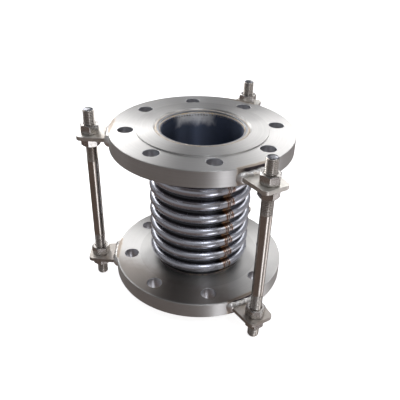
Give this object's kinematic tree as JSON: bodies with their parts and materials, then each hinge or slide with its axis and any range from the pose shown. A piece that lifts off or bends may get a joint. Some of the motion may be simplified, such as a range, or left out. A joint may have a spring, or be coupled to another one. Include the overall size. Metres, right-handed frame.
{
  "type": "metal bellows expansion joint",
  "caption": "Flanged metal bellows expansion joint: corrugated shell between drilled flanges, held by threaded tie rods through welded rim lugs.",
  "frame": {"origin": "on the flow axis, halfway between the two sealing faces", "axes": "+Z along the flow axis from the bottom flange to the top flange; -X passes through one tie rod"},
  "size_m": [0.257, 0.2679, 0.238],
  "materials": {
    "turned_flange_steel": "machine-turned stainless steel, concentric tool marks on the faces",
    "pipe_steel": "cut and welded stainless pipe, satin",
    "bellows_steel": "hydroformed stainless sheet, smooth and shiny",
    "liner_steel": "smooth rolled stainless sheet",
    "lug_steel": "cut stainless plate, dull satin",
    "rod_steel": "drawn stainless bar with rolled threads at both ends",
    "nut_steel": "forged stainless hex nut, satin",
    "weld_steel": "bright rippled weld metal with straw and brown heat tint beside it"
  },
  "bodies": {
    "base_end": {"bottom_flange": "turned_flange_steel", "bottom_spigot": "pipe_steel", "bottom_face_weld": "weld_steel", "bottom_neck_weld": "weld_steel", "bellows": "bellows_steel", "tie_rod_left": "rod_steel", "bottom_lug_left": "lug_steel", "bottom_lug_weld_left": "weld_steel", "bottom_outer_nut_left": "nut_steel", "bottom_inner_nut_left": "nut_steel", "tie_rod_front": "rod_steel", "bottom_lug_front": "lug_steel", "bottom_lug_weld_front": "weld_steel", "bottom_outer_nut_front": "nut_steel", "bottom_inner_nut_front": "nut_steel", "tie_rod_back": "rod_steel", "bottom_lug_back": "lug_steel", "bottom_lug_weld_back": "weld_steel", "bottom_outer_nut_back": "nut_steel", "bottom_inner_nut_back": "nut_steel"},
    "moving_end": {"top_flange": "turned_flange_steel", "top_spigot": "pipe_steel", "top_face_weld": "weld_steel", "top_neck_weld": "weld_steel", "flow_liner": "liner_steel", "top_lug_left": "lug_steel", "top_lug_weld_left": "weld_steel", "top_lug_front": "lug_steel", "top_lug_weld_front": "weld_steel", "top_lug_back": "lug_steel", "top_lug_weld_back": "weld_steel"},
    "outer_nut_left": {"top_outer_nut_left": "nut_steel"},
    "inner_nut_left": {"top_inner_nut_left": "nut_steel"},
    "outer_nut_front": {"top_outer_nut_front": "nut_steel"},
    "inner_nut_front": {"top_inner_nut_front": "nut_steel"},
    "outer_nut_back": {"top_outer_nut_back": "nut_steel"},
    "inner_nut_back": {"top_inner_nut_back": "nut_steel"}
  },
  "joints": [
    {"name": "axial_travel", "type": "slide", "parent": "base_end", "child": "moving_end", "axis": [0, 0, 1], "range_m": [-0.02, 0.014], "deforming": ["bellows"]},
    {"name": "outer_nut_left_turn", "type": "hinge", "parent": "moving_end", "child": "outer_nut_left", "pos_m": [-0.1325, 0, 0.096], "axis": [0, 0, 1], "range_deg": [-3605, 2525]},
    {"name": "inner_nut_left_turn", "type": "hinge", "parent": "moving_end", "child": "inner_nut_left", "pos_m": [-0.1325, 0, 0.08], "axis": [0, 0, 1], "range_deg": [-3605, 2525]},
    {"name": "outer_nut_front_turn", "type": "hinge", "parent": "moving_end", "child": "outer_nut_front", "pos_m": [0.06625, -0.11475, 0.096], "axis": [0, 0, 1], "range_deg": [-3605, 2525]},
    {"name": "inner_nut_front_turn", "type": "hinge", "parent": "moving_end", "child": "inner_nut_front", "pos_m": [0.06625, -0.11475, 0.08], "axis": [0, 0, 1], "range_deg": [-3605, 2525]},
    {"name": "outer_nut_back_turn", "type": "hinge", "parent": "moving_end", "child": "outer_nut_back", "pos_m": [0.06424, 0.11589, 0.096], "axis": [0, 0, 1], "range_deg": [-3605, 2525]},
    {"name": "inner_nut_back_turn", "type": "hinge", "parent": "moving_end", "child": "inner_nut_back", "pos_m": [0.06424, 0.11589, 0.08], "axis": [0, 0, 1], "range_deg": [-3605, 2525]}
  ],
  "couplings": [
    {"joint": "outer_nut_left_turn", "follows": "axial_travel", "rad_per_m": 3141.6},
    {"joint": "inner_nut_left_turn", "follows": "axial_travel", "rad_per_m": 3141.6},
    {"joint": "outer_nut_front_turn", "follows": "axial_travel", "rad_per_m": 3141.6},
    {"joint": "inner_nut_front_turn", "follows": "axial_travel", "rad_per_m": 3141.6},
    {"joint": "outer_nut_back_turn", "follows": "axial_travel", "rad_per_m": 3141.6},
    {"joint": "inner_nut_back_turn", "follows": "axial_travel", "rad_per_m": 3141.6}
  ]
}
